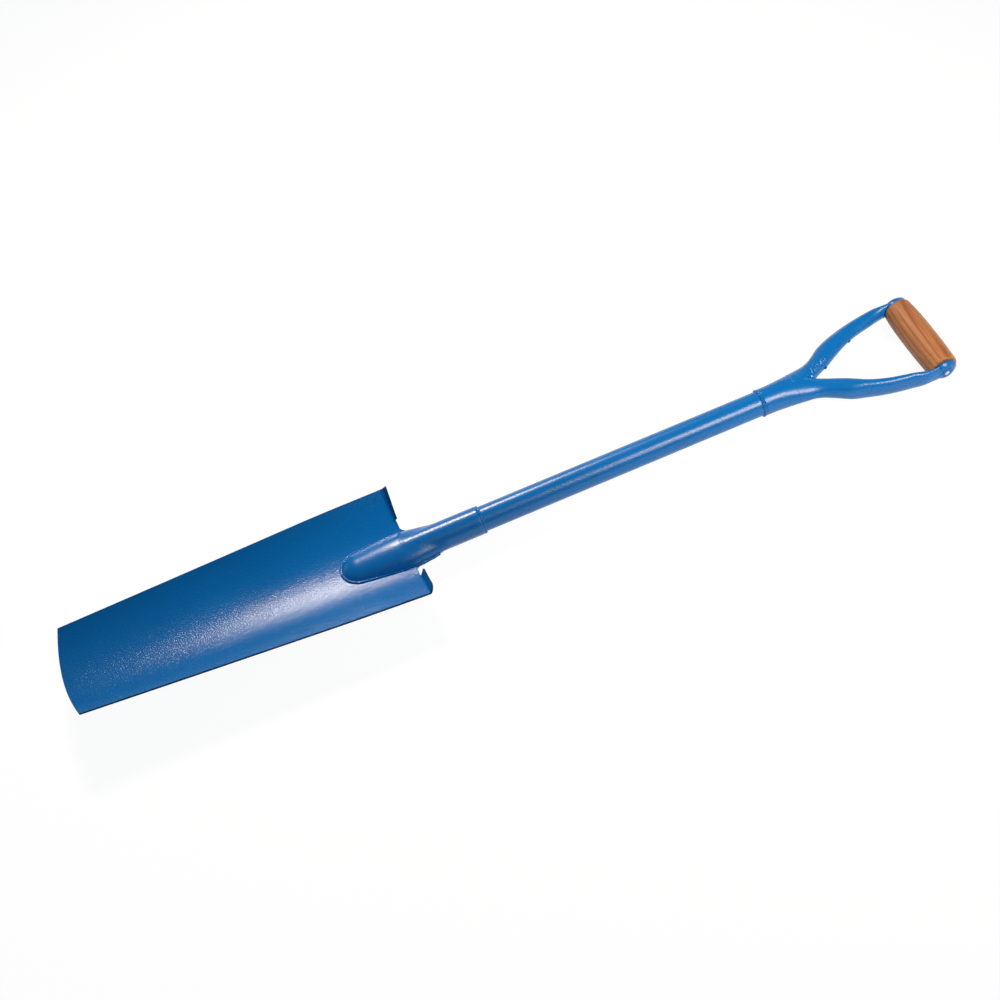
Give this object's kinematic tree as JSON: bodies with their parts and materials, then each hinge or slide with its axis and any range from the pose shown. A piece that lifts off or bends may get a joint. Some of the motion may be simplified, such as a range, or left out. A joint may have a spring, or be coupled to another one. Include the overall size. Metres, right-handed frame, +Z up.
{
  "type": "trenching spade",
  "caption": "Trenching spade with a long tapered blade rolled to a gutter, turned treads, a welded tubular steel shaft and a forked hilt with a turned wooden grip.",
  "frame": {"origin": "middle of the bounding box in X and Y, on the floor the spade lies on", "axes": "+X along the shaft from the cutting edge to the grip, +Z up out of the hollow face, Y across the blade and along the grip"},
  "size_m": [1.0268, 0.1538, 0.0556],
  "materials": {
    "blue_paint": "glossy mid blue paint with a fine hammer texture over welded steel",
    "wood": "varnished hardwood, grain along the grip",
    "bare_steel": "bare domed rivet heads"
  },
  "bodies": {
    "spade": {"blade": "blue_paint", "socket": "blue_paint", "thumb_weld": "blue_paint", "heel_weld": "blue_paint", "shaft": "blue_paint", "socket_rim_weld": "blue_paint", "hilt_stem": "blue_paint", "hilt_rim_weld": "blue_paint", "left_arm": "blue_paint", "right_arm": "blue_paint", "crotch_weld": "blue_paint", "arm_tacks": "blue_paint", "grip_rivet": "bare_steel"},
    "grip": {"grip": "wood"}
  },
  "joints": [
    {"name": "grip_turn", "type": "hinge", "parent": "spade", "child": "grip", "pos_m": [0.49537, 0, 0.018], "axis": [0, 1, 0], "continuous": true}
  ]
}
